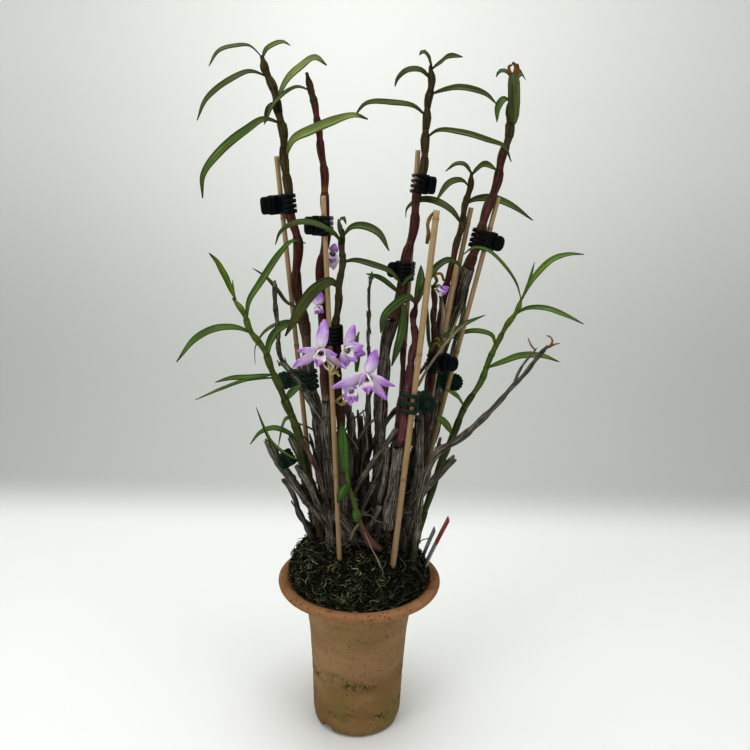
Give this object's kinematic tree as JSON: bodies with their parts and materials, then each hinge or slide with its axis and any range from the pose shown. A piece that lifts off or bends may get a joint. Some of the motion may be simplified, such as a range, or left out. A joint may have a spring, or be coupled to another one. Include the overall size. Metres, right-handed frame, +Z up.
{
  "type": "dendrobium orchid in a pot",
  "caption": "Potted dendrobium orchid: tall leafy canes with small blooms, old canes, bamboo stakes and hinged claw clips, in a flared orchid pot filled with moss.",
  "frame": {"origin": "middle of the whole plant's footprint box, on the surface that the pot stands on; the pot's own axis is 18.4 mm towards -X of it", "axes": "+Z up along the pot's axis, -Y towards the front, where the blooms face, +X to the right seen from the front"},
  "size_m": [0.3374, 0.15, 0.6053],
  "materials": {
    "terracotta": "matte",
    "moss": "matte",
    "bamboo": "satin",
    "leafy_cane": "satin",
    "old_cane": "matte",
    "bloom": "satin",
    "label_grey": "matte",
    "label_red": "gloss",
    "clip_black": "satin",
    "clip_green": "satin"
  },
  "bodies": {
    "plant": {"pot": "terracotta", "moss": "moss", "stake_1": "bamboo", "stake_2": "bamboo", "stake_3": "bamboo", "stake_4": "bamboo", "stake_5": "bamboo", "stake_6": "bamboo", "stake_7": "bamboo", "cane_1": "leafy_cane", "cane_2": "leafy_cane", "cane_3": "leafy_cane", "cane_4": "leafy_cane", "cane_5": "leafy_cane", "cane_6": "leafy_cane", "cane_7": "leafy_cane", "cane_8": "leafy_cane", "cane_9": "leafy_cane", "cane_10": "leafy_cane", "cane_11": "leafy_cane", "old_cane_tall": "old_cane", "old_canes_left": "old_cane", "old_cane_back_left": "old_cane", "old_canes_front": "old_cane", "old_canes_middle": "old_cane", "old_canes_fork": "old_cane", "old_canes_right": "old_cane", "old_cane_branch": "old_cane", "old_canes_back": "old_cane", "keiki": "leafy_cane", "bloom_1": "bloom", "bloom_2": "bloom", "bloom_3": "bloom", "bloom_4": "bloom", "bloom_5": "bloom", "bloom_6": "bloom", "bloom_7": "bloom", "label_grey": "label_grey", "label_red": "label_red", "clip_1_fixed_jaw": "clip_black", "clip_2_fixed_jaw": "clip_black", "clip_3_fixed_jaw": "clip_black", "clip_4_fixed_jaw": "clip_black", "clip_5_fixed_jaw": "clip_black", "clip_6_fixed_jaw": "clip_black", "clip_7_fixed_jaw": "clip_black", "clip_8_fixed_jaw": "clip_green", "clip_9_fixed_jaw": "clip_green", "clip_10_fixed_jaw": "clip_green"},
    "clip_1_jaw": {"clip_1_moving_jaw": "clip_black"},
    "clip_2_jaw": {"clip_2_moving_jaw": "clip_black"},
    "clip_3_jaw": {"clip_3_moving_jaw": "clip_black"},
    "clip_4_jaw": {"clip_4_moving_jaw": "clip_black"},
    "clip_5_jaw": {"clip_5_moving_jaw": "clip_black"},
    "clip_6_jaw": {"clip_6_moving_jaw": "clip_black"},
    "clip_7_jaw": {"clip_7_moving_jaw": "clip_black"},
    "clip_8_jaw": {"clip_8_moving_jaw": "clip_green"},
    "clip_9_jaw": {"clip_9_moving_jaw": "clip_green"},
    "clip_10_jaw": {"clip_10_moving_jaw": "clip_green"}
  },
  "joints": [
    {"name": "clip_1_hinge", "type": "hinge", "parent": "plant", "child": "clip_1_jaw", "pos_m": [-0.09837, 0.01356, 0.47593], "axis": [-0.1103, -0.0004, 0.9939], "range_deg": [0, 16], "stiffness_Nm_per_rad": 0.002},
    {"name": "clip_2_hinge", "type": "hinge", "parent": "plant", "child": "clip_2_jaw", "pos_m": [-0.05975, -0.00375, 0.46054], "axis": [-0.0024, 0.0261, 0.9997], "range_deg": [0, 16], "stiffness_Nm_per_rad": 0.002},
    {"name": "clip_3_hinge", "type": "hinge", "parent": "plant", "child": "clip_3_jaw", "pos_m": [0.03044, 0.01917, 0.49626], "axis": [-0.1025, -0.0089, -0.9947], "range_deg": [0, 16], "stiffness_Nm_per_rad": 0.002},
    {"name": "clip_4_hinge", "type": "hinge", "parent": "plant", "child": "clip_4_jaw", "pos_m": [0.08901, 0.01623, 0.44969], "axis": [0.2232, -0.0649, 0.9726], "range_deg": [0, 16], "stiffness_Nm_per_rad": 0.002},
    {"name": "clip_5_hinge", "type": "hinge", "parent": "plant", "child": "clip_5_jaw", "pos_m": [-0.04393, -0.00715, 0.37054], "axis": [-0.0392, 0.0111, 0.9992], "range_deg": [0, 16], "stiffness_Nm_per_rad": 0.002},
    {"name": "clip_6_hinge", "type": "hinge", "parent": "plant", "child": "clip_6_jaw", "pos_m": [0.00978, 0.01894, 0.42356], "axis": [-0.0832, -0.0156, -0.9964], "range_deg": [0, 16], "stiffness_Nm_per_rad": 0.002},
    {"name": "clip_7_hinge", "type": "hinge", "parent": "plant", "child": "clip_7_jaw", "pos_m": [0.05341, 0.00315, 0.3459], "axis": [0.0879, -0.009, 0.9961], "range_deg": [0, 16], "stiffness_Nm_per_rad": 0.002},
    {"name": "clip_8_hinge", "type": "hinge", "parent": "plant", "child": "clip_8_jaw", "pos_m": [-0.08077, 0.01735, 0.32528], "axis": [-0.1255, 0, 0.9921], "range_deg": [0, 16], "stiffness_Nm_per_rad": 0.002},
    {"name": "clip_9_hinge", "type": "hinge", "parent": "plant", "child": "clip_9_jaw", "pos_m": [0.02921, -0.02406, 0.31738], "axis": [0.0802, -0.0204, 0.9966], "range_deg": [0, 16], "stiffness_Nm_per_rad": 0.002},
    {"name": "clip_10_hinge", "type": "hinge", "parent": "plant", "child": "clip_10_jaw", "pos_m": [0.05618, 0.02622, 0.32421], "axis": [-0.1415, 0.0106, -0.9899], "range_deg": [0, 16], "stiffness_Nm_per_rad": 0.002}
  ]
}
